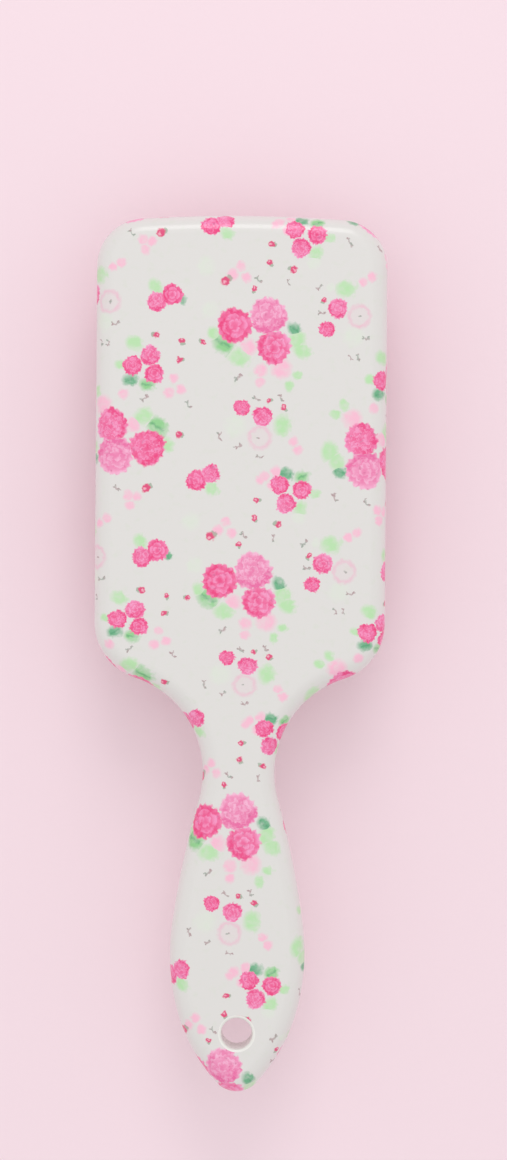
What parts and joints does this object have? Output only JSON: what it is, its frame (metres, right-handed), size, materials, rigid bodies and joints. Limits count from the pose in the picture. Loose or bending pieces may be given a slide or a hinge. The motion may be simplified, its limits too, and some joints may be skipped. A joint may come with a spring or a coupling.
{
  "type": "paddle hairbrush",
  "caption": "Flat paddle hairbrush with a floral-printed back, a pierced rubber air cushion, ball-tipped nylon pins and a hanging hole in the handle.",
  "frame": {"origin": "centre of the length and of the width, at the level of the pin tips, so that the brush rests on its pins", "axes": "+Y along the brush towards the head, +Z out of the flat printed back, +X across the width"},
  "size_m": [0.073, 0.22, 0.031],
  "materials": {
    "printed_plastic": "gloss plastic under a printed film of small roses",
    "plain_plastic": "gloss off-white",
    "cushion_rubber": "satin pink rubber",
    "frame_plastic": "matt moulded",
    "pin_nylon": "satin nylon"
  },
  "bodies": {
    "body": {"back_shell": "printed_plastic", "front_shell": "plain_plastic", "cushion_frame": "frame_plastic"},
    "pad": {"cushion": "cushion_rubber"},
    "column_01": {"pins_column_01": "pin_nylon"},
    "column_02": {"pins_column_02": "pin_nylon"},
    "column_03": {"pins_column_03": "pin_nylon"},
    "column_04": {"pins_column_04": "pin_nylon"},
    "column_05": {"pins_column_05": "pin_nylon"},
    "column_06": {"pins_column_06": "pin_nylon"},
    "column_07": {"pins_column_07": "pin_nylon"},
    "column_08": {"pins_column_08": "pin_nylon"},
    "column_09": {"pins_column_09": "pin_nylon"},
    "column_10": {"pins_column_10": "pin_nylon"},
    "column_11": {"pins_column_11": "pin_nylon"}
  },
  "joints": [
    {"name": "pad_press", "type": "slide", "parent": "body", "child": "pad", "axis": [0, 0, 1], "range_m": [0, 0.0025], "stiffness_N_per_m": 6000, "deforming": ["cushion"]},
    {"name": "column_01_lean", "type": "hinge", "parent": "pad", "child": "column_01", "pos_m": [-0.0245, 0.053, 0.01625], "axis": [0, 1, 0], "range_deg": [-12, 12], "stiffness_Nm_per_rad": 0.25},
    {"name": "column_02_lean", "type": "hinge", "parent": "pad", "child": "column_02", "pos_m": [-0.0196, 0.053, 0.01625], "axis": [0, 1, 0], "range_deg": [-12, 12], "stiffness_Nm_per_rad": 0.25},
    {"name": "column_03_lean", "type": "hinge", "parent": "pad", "child": "column_03", "pos_m": [-0.0147, 0.053, 0.01625], "axis": [0, 1, 0], "range_deg": [-12, 12], "stiffness_Nm_per_rad": 0.25},
    {"name": "column_04_lean", "type": "hinge", "parent": "pad", "child": "column_04", "pos_m": [-0.0098, 0.053, 0.01625], "axis": [0, 1, 0], "range_deg": [-12, 12], "stiffness_Nm_per_rad": 0.25},
    {"name": "column_05_lean", "type": "hinge", "parent": "pad", "child": "column_05", "pos_m": [-0.0049, 0.053, 0.01625], "axis": [0, 1, 0], "range_deg": [-12, 12], "stiffness_Nm_per_rad": 0.25},
    {"name": "column_06_lean", "type": "hinge", "parent": "pad", "child": "column_06", "pos_m": [0, 0.053, 0.01625], "axis": [0, 1, 0], "range_deg": [-12, 12], "stiffness_Nm_per_rad": 0.25},
    {"name": "column_07_lean", "type": "hinge", "parent": "pad", "child": "column_07", "pos_m": [0.0049, 0.053, 0.01625], "axis": [0, 1, 0], "range_deg": [-12, 12], "stiffness_Nm_per_rad": 0.25},
    {"name": "column_08_lean", "type": "hinge", "parent": "pad", "child": "column_08", "pos_m": [0.0098, 0.053, 0.01625], "axis": [0, 1, 0], "range_deg": [-12, 12], "stiffness_Nm_per_rad": 0.25},
    {"name": "column_09_lean", "type": "hinge", "parent": "pad", "child": "column_09", "pos_m": [0.0147, 0.053, 0.01625], "axis": [0, 1, 0], "range_deg": [-12, 12], "stiffness_Nm_per_rad": 0.25},
    {"name": "column_10_lean", "type": "hinge", "parent": "pad", "child": "column_10", "pos_m": [0.0196, 0.053, 0.01625], "axis": [0, 1, 0], "range_deg": [-12, 12], "stiffness_Nm_per_rad": 0.25},
    {"name": "column_11_lean", "type": "hinge", "parent": "pad", "child": "column_11", "pos_m": [0.0245, 0.053, 0.01625], "axis": [0, 1, 0], "range_deg": [-12, 12], "stiffness_Nm_per_rad": 0.25}
  ]
}
